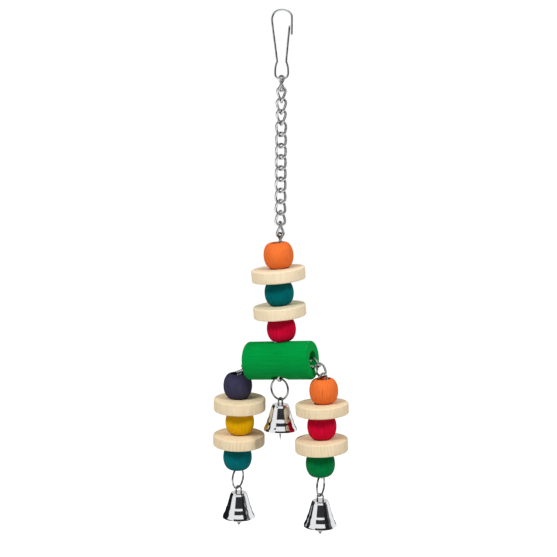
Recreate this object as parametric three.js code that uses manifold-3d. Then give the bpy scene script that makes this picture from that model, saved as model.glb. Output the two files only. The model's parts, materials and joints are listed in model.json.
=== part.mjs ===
// Hanging wooden bird toy: a snap clip, a curb chain, dyed wooden beads and natural wood discs
// threaded on it, a drilled cross log with a bead string at each end, and three small bells.
// Millimetres, +Z up. The origin is the inside of the clip's top arch, where a cage bar bears.
// The side that faces a viewer is -Y, and the log lies roughly along X.

import * as THREE from 'three';
import { mergeVertices } from 'three/addons/utils/BufferGeometryUtils.js';
import Module from 'manifold-3d';

const wasm = await Module();
wasm.setup();

// Clearances
const seatGap = 0.3; // between pieces that rest on each other
const crownGap = 0.5; // between two links' crowns, which come closer where the links turn
const holeGap = 0.3; // between a wire and the punched hole it passes through
const fuseDepth = 0.5; // overlap of neighbouring links where a hidden run is one solid

// Snap clip, bent from one spring wire
const clipWire = 1.35;
const clipHeight = 48.7;
const clipArchWidth = 15.2;
const clipShoulderDrop = 5.6;
const clipKinkDrop = 3.6;
const clipWaistWidth = 7.5;
const clipWaistHeight = 12; // from the foot of the loop up to the waist
const clipLoopWidth = 10.4;
const clipHookReach = 17; // how far the hook's free end comes down from the arch
const clipFootTurn = 0.6; // how far the hook's free end turns in
const gateOverlap = 6.4; // length of the gate's tip that lies behind the hook's free end

// Twisted curb chain
const linkWire = 1.7;
const linkLength = 11.7;
const linkWidth = 8.1;
const linkTwist = 90; // degrees between a link's two crowns
const linkRolls = [90, -52, -38, -42, -14, 0, 0, 0, 0, 0, 8, 18, 30, 68]; // of the links seen whole, from the top down
const chainLean = 0.26; // degrees, the chain hangs slightly to the left going down

// Wooden pieces
const beadWidth = 20.7;
const beadHeight = 18;
const beadFlat = 12;
const woodHole = 10;
const discWidth = 37.5;
const thinDisc = 7.1;
const thickDisc = 7.8;
const discEdge = 0.8;
const logWidth = 27.4;
const logLength = 49.6;
const logEdge = 1.5;
const logBore = 13;
const logCrossHole = 12.8;

// How the log hangs, in degrees, and how far it stands in front and to the right of the chain
const logYaw = 22;
const logTilt = 4.7;
const logRoll = 16;
const logForward = 1.7;
const logSideways = 0.5;

// Strings of beads and discs
const topLean = [0, 5.5]; // degrees that its pieces turn about X and Y
const topStringEntry = 6.7; // from the crown of the fifteenth link down to the top bead
const ringEntry = 1.2; // how far a ring's top reaches into the hole of the bead above it
const logRingEntry = 2.1; // the same at the log's lower hole

// Rings, bells and clappers
const ringWidth = 16.5;
const ringWire = 1.2;
const bellWidth = 23.1;
const bellCapWidth = 12;
const bellWaistWidth = 17.9;
const bellHeight = 17.6;
const bellWaistDepth = 10.6;
const bellWall = 0.7;
const bellShoulder = 1.6;
const bellFlareSwell = 0.1; // how far the flare stands out from a straight cone
const hangerWire = 1.25;
const hangerWidth = 5.6;
const hangerRise = 5.2; // outside height of the hanger above the cap
const hangerDepth = 4; // from the cap's top down to the underside of the hanger's bar
const hangerCorner = 0.8;
const clapperSheet = 0.8;
const clapperStrap = 2.2;
const clapperWidth = 8;
const clapperTipAngle = 72;
const clapperShow = 7.3; // how far the clapper's tip reaches below the rim
const clapperNeck = 4.5; // height over which the strap widens to the clapper's full width

const natural = 0xebd9b6;
const steel = { color: 0xb9bcc0, roughness: 0.3, metalness: 1 };
const chrome = { color: 0xc9ccd0, roughness: 0.15, metalness: 1 };

// Each string from the top down. across is how far a piece sits off the chain's line.
const topString = [
  { name: 'top_bead_orange', colour: 0xee7838, across: -0.9 },
  { name: 'top_disc_upper', thickness: thinDisc, across: -1.2 },
  { name: 'top_bead_teal', colour: 0x00707f, across: -0.7 },
  { name: 'top_disc_lower', thickness: thinDisc, across: -0.2 },
  { name: 'top_bead_red', colour: 0xc8052f, across: 0.6 },
];
const leftString = [
  { name: 'left_bead_navy', colour: 0x3a344b, across: 0 },
  { name: 'left_disc_upper', thickness: thickDisc, across: 0.4 },
  { name: 'left_bead_yellow', colour: 0xd9b000, across: 0.6 },
  { name: 'left_disc_lower', thickness: thinDisc, across: 0 },
  { name: 'left_bead_teal', colour: 0x007f8c, across: -0.3 },
];
const rightString = [
  { name: 'right_bead_orange', colour: 0xf27a3e, across: 0.6 },
  { name: 'right_disc_upper', thickness: thinDisc, across: 0.3 },
  { name: 'right_bead_red', colour: 0xc8052f, across: 0.2 },
  { name: 'right_disc_lower', thickness: thickDisc, across: -0.5 },
  { name: 'right_bead_green', colour: 0x00703a, across: -0.7 },
];

// The cross chain leaves the log's bore lower on the right than on the left. fall gives the
// slope of its two free links at each side, in degrees below the log's own axis, and footShift
// how far the string's foot hangs off the line below its top.
const boreInset = 1.95; // from the log's end in to the last hidden crown of the cross chain
const crossShift = 0;
const crossDrop = 0.5;
const topRunRoll = [90, 93];
const logRunRoll = [95, 97];
const crossRoll = [53, 123];
const centreRingYaw = -38;
const sides = [
  {
    name: 'left', way: -1, fall: [27.4, 44.5], roll: [75, 71], entry: -1.1,
    pieces: leftString, lean: [2.5, 0], runRoll: [60, 16], footShift: 0, ringYaw: 61,
  },
  {
    name: 'right', way: 1, fall: [25.5, 67.5], roll: [-41, -5], entry: -3.4,
    pieces: rightString, lean: [-1.3, 0], runRoll: [11, 23], footShift: -0.9, ringYaw: 68,
  },
];

const up = new THREE.Vector3(0, 0, 1);
const down = new THREE.Vector3(0, 0, -1);
const radians = THREE.MathUtils.degToRad;
const toy = new THREE.Group();

function add(name, geometry, finish) {
  const mesh = new THREE.Mesh(geometry, new THREE.MeshStandardMaterial(finish));
  mesh.name = name;
  toy.add(mesh);
  return mesh;
}

// Closed geometry, solids and booleans

// Shares the vertices and leaves out faces that have shrunk to a line on an axis
function weld(geometry) {
  geometry.deleteAttribute('normal');
  geometry.deleteAttribute('uv');
  const shared = mergeVertices(geometry, 1e-4);
  const faces = [];
  for (let i = 0; i < shared.index.count; i += 3) {
    const [a, b, c] = shared.index.array.slice(i, i + 3);
    if (a !== b && b !== c && c !== a) faces.push(a, b, c);
  }
  return shared.setIndex(faces);
}

function toSolid(geometry) {
  const welded = weld(geometry.clone());
  return new wasm.Manifold(new wasm.Mesh({
    numProp: 3,
    vertProperties: new Float32Array(welded.attributes.position.array),
    triVerts: new Uint32Array(welded.index.array),
  }));
}

function toGeometry(solid) {
  const mesh = solid.getMesh();
  const geometry = new THREE.BufferGeometry();
  geometry.setAttribute('position', new THREE.BufferAttribute(mesh.vertProperties, 3));
  geometry.setIndex(new THREE.BufferAttribute(mesh.triVerts, 1));
  return geometry;
}

function fuse(geometries) {
  const solids = geometries.map(toSolid);
  return toGeometry(solids.reduce((whole, piece) => whole.add(piece)));
}

function cut(geometry, tools) {
  const start = toSolid(geometry);
  return toGeometry(tools.map(toSolid).reduce((whole, tool) => whole.subtract(tool), start));
}

// A turned solid about Z. The outline is a closed loop of [radius, height] points, drawn
// upwards on the outside and down again through the hole or the hollow.
function turned(outline, faces) {
  const points = outline.map(([radius, height]) => new THREE.Vector2(radius, height));
  return weld(new THREE.LatheGeometry(points, faces).rotateX(Math.PI / 2));
}

function rod(width, length, faces) {
  return new THREE.CylinderGeometry(width / 2, width / 2, length, faces).rotateX(Math.PI / 2);
}

// Points on an arc in a turned outline, ends included
function arc(centre, radiusOut, radiusUp, start, end, steps) {
  return Array.from({ length: steps + 1 }, (_, i) => {
    const angle = radians(start + (end - start) * i / steps);
    return [centre[0] + radiusOut * Math.cos(angle), centre[1] + radiusUp * Math.sin(angle)];
  });
}

// Wire shapes

// A closed loop drawn in a plane, with its first point at the top crown, that may be twisted
// about its long axis as it goes down.
class WireLoop extends THREE.Curve {
  constructor(outline, height, twist = 0) {
    super();
    this.outline = outline;
    this.height = height;
    this.twist = radians(twist);
  }

  getPoint(t, target = new THREE.Vector3()) {
    const flat = this.outline.getPoint(t);
    const turn = this.twist * (0.5 + flat.y / this.height);
    return target.set(flat.x * Math.cos(turn), flat.x * Math.sin(turn), flat.y);
  }
}

// Outline with rounded ends, from the middle of its top at height 0 down to -height
function loopOutline(width, height, endRadius) {
  const side = width / 2;
  const outline = new THREE.Path();
  outline.moveTo(0, 0);
  outline.absarc(0, -side, side, Math.PI / 2, 0, true);
  outline.lineTo(side, endRadius - height);
  outline.absarc(side - endRadius, endRadius - height, endRadius, 0, -Math.PI / 2, true);
  outline.lineTo(endRadius - side, -height);
  outline.absarc(endRadius - side, endRadius - height, endRadius, -Math.PI / 2, -Math.PI, true);
  outline.lineTo(-side, -side);
  outline.absarc(0, -side, side, Math.PI, Math.PI / 2, true);
  return outline;
}

function closedWire(curve, wire, steps, faces) {
  return weld(new THREE.TubeGeometry(curve, steps, wire / 2, faces, true));
}

function openWire(curve, wire, steps, faces) {
  const section = new THREE.Shape();
  for (let i = 0; i < faces; i += 1) {
    const angle = 2 * Math.PI * i / faces;
    const point = [wire / 2 * Math.cos(angle), wire / 2 * Math.sin(angle)];
    if (i === 0) section.moveTo(...point);
    else section.lineTo(...point);
  }
  return weld(new THREE.ExtrudeGeometry(section, { extrudePath: curve, steps, bevelEnabled: false }));
}

function bend(from, control, to) {
  const points = [from, control, to].map(([x, z]) => new THREE.Vector3(x, 0, z));
  return new THREE.QuadraticBezierCurve3(...points);
}

function straight(from, to) {
  return new THREE.LineCurve3(new THREE.Vector3(from[0], 0, from[1]), new THREE.Vector3(to[0], 0, to[1]));
}

// Chain

const crownSpan = linkLength - linkWire; // between the wire centres of a link's two crowns
const crownStep = linkWire + crownGap; // from a link's foot crown up to the next link's top crown
const linkSide = linkWidth - linkWire;

function linkGeometry(span, steps, faces) {
  const outline = loopOutline(linkSide, span, linkSide / 2);
  return closedWire(new WireLoop(outline, span, linkTwist), linkWire, steps, faces);
}

// The turn that lays a link drawn from the origin down along a direction, rolled about it
function linkTurn(direction, roll) {
  const turn = new THREE.Quaternion().setFromUnitVectors(down, direction);
  return turn.multiply(new THREE.Quaternion().setFromAxisAngle(up, radians(roll)));
}

// Hidden links from one crown point to another, with the roll changing evenly on the way. They
// overlap slightly at the crowns, so that the run is one solid, and are stretched a little so
// that an odd number of them fills it.
function runOfLinks(from, to, rollStart, rollEnd) {
  const whole = to.clone().sub(from);
  const direction = whole.clone().normalize();
  const fusedStep = linkWire - fuseDepth;
  const rest = whole.length() - crownSpan;
  const count = 1 + 2 * Math.round(rest / (crownSpan - fusedStep) / 2);
  const span = (whole.length() + (count - 1) * fusedStep) / count;
  return Array.from({ length: count }, (_, i) => {
    const roll = rollStart + (rollEnd - rollStart) * i / (count - 1);
    const place = from.clone().addScaledVector(direction, (span - fusedStep) * i);
    const isEnd = i === 0 || i === count - 1;
    const link = linkGeometry(span, ...(isEnd ? [12, 4] : [6, 4]));
    return link.applyQuaternion(linkTurn(direction, roll)).translate(place.x, place.y, place.z);
  });
}

// A free link from its top crown along a direction; gives back its foot crown
function freeLink(name, crown, direction, roll) {
  const link = add(name, linkGeometry(crownSpan, 14, 5), steel);
  link.position.copy(crown);
  link.quaternion.copy(linkTurn(direction, roll));
  return crown.clone().addScaledVector(direction, crownSpan);
}

// The top crown of what hangs on a foot crown, where the chain turns from one way to another
function nextCrown(foot, wayBefore, way) {
  const sum = wayBefore.clone().add(way);
  return foot.clone().addScaledVector(sum, -2 * crownStep / sum.lengthSq());
}

// Snap clip

const archSide = (clipArchWidth - clipWire) / 2;
const waistSide = (clipWaistWidth - clipWire) / 2;
const loopSide = (clipLoopWidth - clipWire) / 2;
const archTop = clipWire / 2;
const clipFoot = archTop + clipWire - clipHeight;
const loopMiddle = clipFoot + loopSide;
const waist = clipFoot + clipWaistHeight;
const hookEnd = archTop - clipHookReach;
const gateTip = [archSide - clipFootTurn - clipWire - seatGap, hookEnd + gateOverlap];

function clipFrame() {
  const path = new THREE.CurvePath();
  const kink = [archSide, archTop - clipKinkDrop];
  const shoulder = [-archSide, archTop - clipShoulderDrop];
  path.add(bend([archSide - clipFootTurn, hookEnd], [archSide, hookEnd + clipWire], [archSide, hookEnd + 2 * clipWire]));
  path.add(straight([archSide, hookEnd + 2 * clipWire], kink));
  path.add(bend(kink, [archSide * 0.75, archTop], [0, archTop]));
  path.add(bend([0, archTop], [-archSide, archTop], shoulder));
  path.add(straight(shoulder, [-waistSide, waist]));
  path.add(bend([-waistSide, waist], [-loopSide, waist - loopSide / 2], [-loopSide, loopMiddle]));
  path.add(bend([-loopSide, loopMiddle], [-loopSide, clipFoot], [0, clipFoot]));
  path.add(bend([0, clipFoot], [loopSide, clipFoot], [loopSide, loopMiddle]));
  return openWire(path, clipWire, 42, 6);
}

function clipGate() {
  const path = new THREE.CurvePath();
  const root = loopMiddle + seatGap;
  path.add(bend([loopSide, root], [loopSide, waist - loopSide / 2], [waistSide, waist]));
  path.add(straight([waistSide, waist], gateTip));
  return openWire(path, clipWire, 12, 6);
}

add('clip_frame', clipFrame(), steel);
add('clip_gate', clipGate(), steel);

// Main chain: edge-on at both ends and turned to face the viewer between them

const chainTop = new THREE.Vector3(0, 0, clipFoot + (clipWire + linkWire) / 2 + crownGap);
const chainWay = new THREE.Vector3(-Math.sin(radians(chainLean)), 0, -Math.cos(radians(chainLean)));

let topRunStart = chainTop;
linkRolls.forEach((roll, i) => {
  const foot = freeLink(`chain_link_${String(i + 1).padStart(2, '0')}`, topRunStart, chainWay, roll);
  topRunStart = nextCrown(foot, chainWay, i + 1 < linkRolls.length ? chainWay : down);
});

// Beads and discs

function beadGeometry() {
  const half = beadHeight / 2;
  const flat = beadFlat / 2;
  const bulge = beadWidth / 2 - flat;
  return turned([
    [woodHole / 2, -half],
    ...arc([flat, 0], bulge, half, -90, 90, 5),
    [woodHole / 2, half],
    [woodHole / 2, -half],
  ], 18);
}

function discGeometry(thickness) {
  const half = thickness / 2;
  const rim = discWidth / 2;
  return turned([
    [woodHole / 2, -half],
    [rim - discEdge, -half],
    [rim, discEdge - half],
    [rim, half - discEdge],
    [rim - discEdge, half],
    [woodHole / 2, half],
    [woodHole / 2, -half],
  ], 24);
}

// The turn of pieces that lean about X and Y by so many degrees
function leanTurn([leanX, leanY]) {
  return new THREE.Quaternion().setFromEuler(new THREE.Euler(radians(leanX), -radians(leanY), 0));
}

// Threads pieces down a line that starts at top, each leaning the same way, and gives back
// the point on the line where the stack ends.
function threadString(pieces, top, lean) {
  const turn = leanTurn(lean);
  const upright = up.clone().applyQuaternion(turn).z;
  let depth = 0;
  for (const piece of pieces) {
    const isDisc = piece.thickness !== undefined;
    const height = isDisc ? piece.thickness : beadHeight;
    const geometry = isDisc ? discGeometry(height) : beadGeometry();
    const colour = isDisc ? natural : piece.colour;
    const mesh = add(piece.name, geometry, { color: colour, roughness: 0.65, metalness: 0 });
    const across = new THREE.Vector3(piece.across, 0, 0).applyQuaternion(turn);
    mesh.position.copy(top).addScaledVector(down, (depth + height / 2) / upright).add(across);
    mesh.quaternion.copy(turn);
    depth += height + seatGap;
  }
  return top.clone().addScaledVector(down, (depth - seatGap) / upright);
}

const topBeadTop = topRunStart.clone().addScaledVector(down, topStringEntry);
const topStringFoot = threadString(topString, topBeadTop, topLean);

// Log: its own frame is turned by yaw and tilt, and only the wood and its holes are rolled

const stringNormal = up.clone().applyQuaternion(leanTurn(topLean));
const crestDrop = (logWidth / 2 + seatGap) / stringNormal.z;
const logCentre = topStringFoot.clone().addScaledVector(down, crestDrop);
logCentre.add(new THREE.Vector3(logSideways, -logForward, 0));
const logFrame = new THREE.Euler(0, -radians(logTilt), -radians(logYaw), 'ZYX');
const logTurn = new THREE.Quaternion().setFromEuler(logFrame);

// A point or a direction given in the log's frame, in the part's frame
function atLog(x, y, z) {
  return new THREE.Vector3(x, y, z).applyQuaternion(logTurn).add(logCentre);
}

function alongLog(x, y, z) {
  return new THREE.Vector3(x, y, z).applyQuaternion(logTurn);
}

function logGeometry() {
  const side = logWidth / 2;
  const end = logLength / 2;
  const blank = turned([
    [0, -end],
    ...arc([side - logEdge, logEdge - end], logEdge, logEdge, -90, 0, 2),
    ...arc([side - logEdge, end - logEdge], logEdge, logEdge, 0, 90, 2),
    [0, end],
  ], 28).rotateY(Math.PI / 2);
  const bore = rod(logBore, logLength + 2, 18).rotateY(Math.PI / 2);
  const crossHole = rod(logCrossHole, logWidth + 2, 18).rotateX(-radians(logRoll));
  return cut(blank, [bore, crossHole]);
}

const log = add('log', logGeometry(), { color: 0x00933a, roughness: 0.6, metalness: 0 });
log.position.copy(logCentre);
log.quaternion.copy(logTurn);

// Chains inside the log: the end of the vertical one, and the cross chain threaded through it

const ringRadius = (ringWidth - ringWire) / 2;
const hookStep = (ringWire + linkWire) / 2 + crownGap; // from a foot crown up to a ring's top

const logHookHeight = logRingEntry - (logWidth + ringWire) / 2 - hookStep;
const logHook = atLog(0, logHookHeight * Math.tan(radians(logRoll)), logHookHeight);
const crossHalf = logLength / 2 - boreInset;
const crossMiddle = atLog(crossShift, 0, -crossDrop);
const logRunStart = topRunStart.clone().setZ(2 * crossMiddle.z - logHook.z);
const topRunEnd = logRunStart.clone().addScaledVector(down, crownStep);
add('top_string_chain', fuse(runOfLinks(topRunStart, topRunEnd, ...topRunRoll)), steel);

const crossEnds = [-1, 1].map((way) => alongLog(way * crossHalf, 0, 0).add(crossMiddle));
add('log_inner_chain', fuse([
  ...runOfLinks(logRunStart, logHook, ...logRunRoll),
  ...runOfLinks(...crossEnds, ...crossRoll),
]), steel);

// Ring, bell, hanger and clapper, hung from the foot crown of a chain

const hangerSide = (hangerWidth - hangerWire) / 2;
const hangerTop = hangerRise - hangerWire / 2; // wire centre above the bell's cap
const barDepth = hangerDepth - hangerWire / 2; // wire centre of the bar below the cap's top
const eyeBore = hangerWire + 2 * seatGap;
const eyeWidth = eyeBore + 2 * clapperSheet;

function bellGeometry() {
  const cap = bellCapWidth / 2;
  const rim = bellWidth / 2;
  const waistSideways = bellWaistWidth / 2;
  const flare = (waistSideways + rim) / 2 + bellFlareSwell;
  const flareDepth = (bellWaistDepth + bellHeight) / 2;
  const shell = turned([
    [0, -bellWall],
    [cap - bellShoulder, -bellWall],
    [cap - bellWall / 2, -bellShoulder],
    [waistSideways - bellWall, -bellWaistDepth],
    [flare - bellWall, -flareDepth],
    [rim - bellWall * 1.4, -bellHeight],
    [rim, -bellHeight + bellWall / 2],
    [flare, -flareDepth],
    [waistSideways, -bellWaistDepth],
    [cap + bellWall / 2, -bellShoulder],
    [cap, -bellShoulder / 2],
    [cap - bellShoulder, 0],
    [0, 0],
  ], 18);
  const hole = rod(hangerWire + 2 * holeGap, 4 * bellWall, 8);
  return cut(shell, [-hangerSide, hangerSide].map((x) => hole.clone().translate(x, 0, 0)));
}

function hangerGeometry() {
  const outline = loopOutline(2 * hangerSide, hangerTop + barDepth, hangerCorner);
  return closedWire(new WireLoop(outline, hangerTop + barDepth), hangerWire, 20, 5).translate(0, 0, hangerTop);
}

// A sheet blade that widens from its strap and ends in a point, with its top rolled into an
// eye round the hanger's bar. Its origin is the middle of the eye.
function clapperGeometry() {
  const tip = bellHeight + clapperShow - barDepth;
  const point = clapperWidth / 2 / Math.tan(radians(clapperTipAngle / 2));
  const strap = clapperStrap / 2;
  const blade = new THREE.Shape([
    new THREE.Vector2(strap, -eyeBore / 2 - clapperSheet / 2),
    new THREE.Vector2(-strap, -eyeBore / 2 - clapperSheet / 2),
    new THREE.Vector2(-strap, point + clapperNeck - tip),
    new THREE.Vector2(-clapperWidth / 2, point - tip),
    new THREE.Vector2(0, -tip),
    new THREE.Vector2(clapperWidth / 2, point - tip),
    new THREE.Vector2(strap, point + clapperNeck - tip),
  ]);
  const plate = new THREE.ExtrudeGeometry(blade, { depth: clapperSheet, bevelEnabled: false });
  plate.rotateX(Math.PI / 2).translate(0, clapperSheet / 2, 0);
  const eye = cut(rod(eyeWidth, clapperStrap, 12), [rod(eyeBore, clapperStrap + 2, 12)]);
  return fuse([plate, eye.rotateY(Math.PI / 2)]);
}

function hangBell(name, hook, yaw) {
  const ring = add(`${name}_ring`, weld(new THREE.TorusGeometry(ringRadius, ringWire / 2, 5, 18)), steel);
  ring.geometry.rotateX(Math.PI / 2);
  ring.position.copy(hook).addScaledVector(up, hookStep - ringRadius);
  ring.rotation.z = radians(yaw);
  const cap = ring.position.clone();
  cap.z += (ringWire + hangerWire) / 2 + seatGap - ringRadius - hangerTop;
  for (const [piece, geometry, finish, drop] of [
    ['bell', bellGeometry(), chrome, 0],
    ['bell_hanger', hangerGeometry(), steel, 0],
    ['clapper', clapperGeometry(), steel, barDepth],
  ]) {
    const mesh = add(`${name}_${piece}`, geometry, finish);
    mesh.position.copy(cap).addScaledVector(down, drop);
    mesh.rotation.z = radians(yaw + 90);
  }
}

hangBell('centre', logHook, centreRingYaw);

// Side strings: two free links out of the bore, then an upright string with its bell

for (const side of sides) {
  let foot = alongLog(side.way * crossHalf, 0, 0).add(crossMiddle);
  let wayBefore = alongLog(side.way, 0, 0);
  side.fall.forEach((fall, i) => {
    const way = alongLog(side.way * Math.cos(radians(fall)), 0, -Math.sin(radians(fall)));
    foot = freeLink(`${side.name}_link_${i + 1}`, nextCrown(foot, wayBefore, way), way, side.roll[i]);
    wayBefore = way;
  });
  const start = nextCrown(foot, wayBefore, down);
  const stringFoot = threadString(side.pieces, start.clone().addScaledVector(up, side.entry), side.lean);
  const hook = stringFoot.addScaledVector(up, ringEntry - ringWire / 2 - hookStep);
  hook.x += side.footShift;
  add(`${side.name}_string_chain`, fuse(runOfLinks(start, hook, ...side.runRoll)), steel);
  hangBell(side.name, hook, side.ringYaw);
}

export default toy;
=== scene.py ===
import json
import math
import bpy
import bmesh
from mathutils import Matrix, Quaternion, Vector


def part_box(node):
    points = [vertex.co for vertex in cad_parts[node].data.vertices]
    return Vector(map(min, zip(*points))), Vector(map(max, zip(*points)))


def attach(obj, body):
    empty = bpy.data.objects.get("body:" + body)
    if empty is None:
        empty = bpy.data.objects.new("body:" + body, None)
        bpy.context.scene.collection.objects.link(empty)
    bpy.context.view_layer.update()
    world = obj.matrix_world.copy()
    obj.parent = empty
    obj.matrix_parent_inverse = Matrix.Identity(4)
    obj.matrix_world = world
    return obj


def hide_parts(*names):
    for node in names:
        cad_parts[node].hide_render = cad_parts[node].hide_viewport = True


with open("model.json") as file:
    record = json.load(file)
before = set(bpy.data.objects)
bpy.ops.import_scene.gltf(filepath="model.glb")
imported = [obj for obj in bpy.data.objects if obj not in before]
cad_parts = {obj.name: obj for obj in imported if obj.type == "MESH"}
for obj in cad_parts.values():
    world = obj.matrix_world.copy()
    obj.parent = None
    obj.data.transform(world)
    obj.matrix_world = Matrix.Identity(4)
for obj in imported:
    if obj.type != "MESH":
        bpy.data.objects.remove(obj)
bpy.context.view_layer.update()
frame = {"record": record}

mm = 0.001
bodyOfNode = {node: body for body, nodes in frame["record"]["behaviour"]["bodies"].items() for node in nodes}
collection = bpy.context.scene.collection
zAxis = Vector((0, 0, 1))


def hexColour(text):
    # sRGB hex to the linear colour that the shader wants
    values = [int(text[i:i + 2], 16) / 255 for i in (0, 2, 4)]
    linear = [v / 12.92 if v <= 0.04045 else ((v + 0.055) / 1.055) ** 2.4 for v in values]
    return (*linear, 1.0)


def addNode(tree, kind, inputs=None, **settings):
    node = tree.nodes.new(kind)
    for name, value in settings.items():
        setattr(node, name, value)
    for key, value in (inputs or {}).items():
        if isinstance(value, bpy.types.NodeSocket):
            tree.links.new(value, node.inputs[key])
        else:
            node.inputs[key].default_value = value
    return node


def newMaterial(name):
    material = bpy.data.materials.new(name)
    material.use_nodes = True
    tree = material.node_tree
    tree.nodes.clear()
    return material, tree


def closeMaterial(tree, shader):
    addNode(tree, "ShaderNodeOutputMaterial", {"Surface": shader.outputs[0]})


def setRamp(node, stops):
    ramp = node.color_ramp
    while len(ramp.elements) > 1:
        ramp.elements.remove(ramp.elements[-1])
    for i, (place, colour) in enumerate(stops):
        element = ramp.elements[0] if i == 0 else ramp.elements.new(place)
        element.position = place
        element.color = colour
    return node


def meshFrom(bm, name):
    mesh = bpy.data.meshes.new(name)
    bm.to_mesh(mesh)
    bm.free()
    return mesh


def spinOutline(outline, steps, name):
    # Turns a closed or axis-to-axis outline of (radius, height) about Z
    bm = bmesh.new()
    verts = [bm.verts.new((r * mm, 0, z * mm)) for r, z in outline]
    edges = [bm.edges.new(pair) for pair in zip(verts, verts[1:])]
    if outline[0][0] > 0:
        edges.append(bm.edges.new((verts[-1], verts[0])))
    bmesh.ops.spin(bm, geom=verts + edges, axis=(0, 0, 1), cent=(0, 0, 0), angle=2 * math.pi, steps=steps,
                   use_merge=True)
    bmesh.ops.remove_doubles(bm, verts=bm.verts, dist=1e-7)
    bmesh.ops.dissolve_degenerate(bm, edges=bm.edges, dist=1e-8)
    bmesh.ops.recalc_face_normals(bm, faces=bm.faces)
    return meshFrom(bm, name)


def arcPoints(centre, radius, start, end, steps):
    angles = [math.radians(start + (end - start) * i / steps) for i in range(steps + 1)]
    return [(centre[0] + radius * math.cos(a), centre[1] + radius * math.sin(a)) for a in angles]


def drillMesh(mesh, holes):
    # Cuts round holes; each is (width, length, matrix)
    target = bpy.data.objects.new("drillWork", mesh)
    collection.objects.link(target)
    drills = []
    for width, length, place in holes:
        bm = bmesh.new()
        bmesh.ops.create_cone(bm, cap_ends=True, segments=48, radius1=width / 2 * mm, radius2=width / 2 * mm,
                              depth=length * mm, matrix=place)
        drill = bpy.data.objects.new("drillTool", meshFrom(bm, "drillTool"))
        collection.objects.link(drill)
        cut = target.modifiers.new("drill", "BOOLEAN")
        cut.operation, cut.solver, cut.object = "DIFFERENCE", "EXACT", drill
        drills.append(drill)
    evaluated = target.evaluated_get(bpy.context.evaluated_depsgraph_get())
    result = bpy.data.meshes.new_from_object(evaluated)
    for item in drills + [target]:
        bpy.data.objects.remove(item)
    return result


def wireMesh(name, points, width, closed=False, swell=None):
    # A round wire along points in mm, made as a curve and then turned to a mesh. swell gives each point's share of
    # the width
    curve = bpy.data.curves.new(name, "CURVE")
    curve.dimensions = "3D"
    spline = curve.splines.new("POLY")
    spline.points.add(len(points) - 1)
    for i, point in enumerate(points):
        spline.points[i].co = (*(Vector(point) * mm), 1)
        spline.points[i].radius = swell(i) if swell else 1
    spline.use_cyclic_u = closed
    curve.bevel_depth = width / 2 * mm
    curve.bevel_resolution = 5
    curve.use_fill_caps = not closed
    holder = bpy.data.objects.new(name, curve)
    collection.objects.link(holder)
    mesh = bpy.data.meshes.new_from_object(holder.evaluated_get(bpy.context.evaluated_depsgraph_get()))
    bpy.data.objects.remove(holder)
    bpy.data.curves.remove(curve)
    return mesh


def joinMeshes(name, meshes):
    bm = bmesh.new()
    for mesh in meshes:
        bm.from_mesh(mesh)
        bpy.data.meshes.remove(mesh)
    return meshFrom(bm, name)


def markGrain(mesh, toBlank, offset):
    # Keeps where each point lay in the wooden blank, grain along Z, before the piece is put in place
    layer = mesh.attributes.new("grain", "FLOAT_VECTOR", "POINT")
    shift = Vector(offset) * mm
    for vertex, item in zip(mesh.vertices, layer.data):
        item.vector = toBlank @ vertex.co + shift


def markShare(mesh, name, amount):
    layer = mesh.attributes.new(name, "FLOAT", "POINT")
    for vertex, item in zip(mesh.vertices, layer.data):
        item.value = max(0.0, min(1.0, amount(vertex.co / mm)))


split = {"across": -0.4, "up": 0.2, "hidden": 99, "waver": 1.6, "core": 0.1, "edge": 0.26, "depth": 0.75, "full": 2.2,
         "end": 4.4}


def markSplit(mesh):
    # Keeps how far each point lies from the middle of a drying split on the front of a bead
    layer = mesh.attributes.new("split", "FLOAT_VECTOR", "POINT")
    for vertex, item in zip(mesh.vertices, layer.data):
        p = vertex.co / mm
        item.vector = (p.x - split["across"], p.y, p.z - split["up"] if p.y < 0 else split["hidden"])


def placePiece(name, mesh, place, material, node, sharpAngle=38):
    mesh.transform(place)
    mesh.materials.clear()
    mesh.materials.append(material)
    mesh.polygons.foreach_set("use_smooth", [True] * len(mesh.polygons))
    mesh.set_sharp_from_angle(angle=math.radians(sharpAngle))
    piece = bpy.data.objects.new(name, mesh)
    collection.objects.link(piece)
    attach(piece, bodyOfNode[node])
    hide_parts(node)


def placeAt(point, turn):
    return Matrix.Translation(Vector(point) * mm) @ turn.to_matrix().to_4x4()


def boxMiddle(node):
    low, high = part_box(node)
    return (Vector(low) + Vector(high)) / 2 / mm


def leanTurn(leanX, leanY):
    return Quaternion((1, 0, 0), math.radians(leanX)) @ Quaternion((0, 1, 0), math.radians(-leanY))


scratchDepth = 0.04    # on plated wire, before each finish's own share of it


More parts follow.
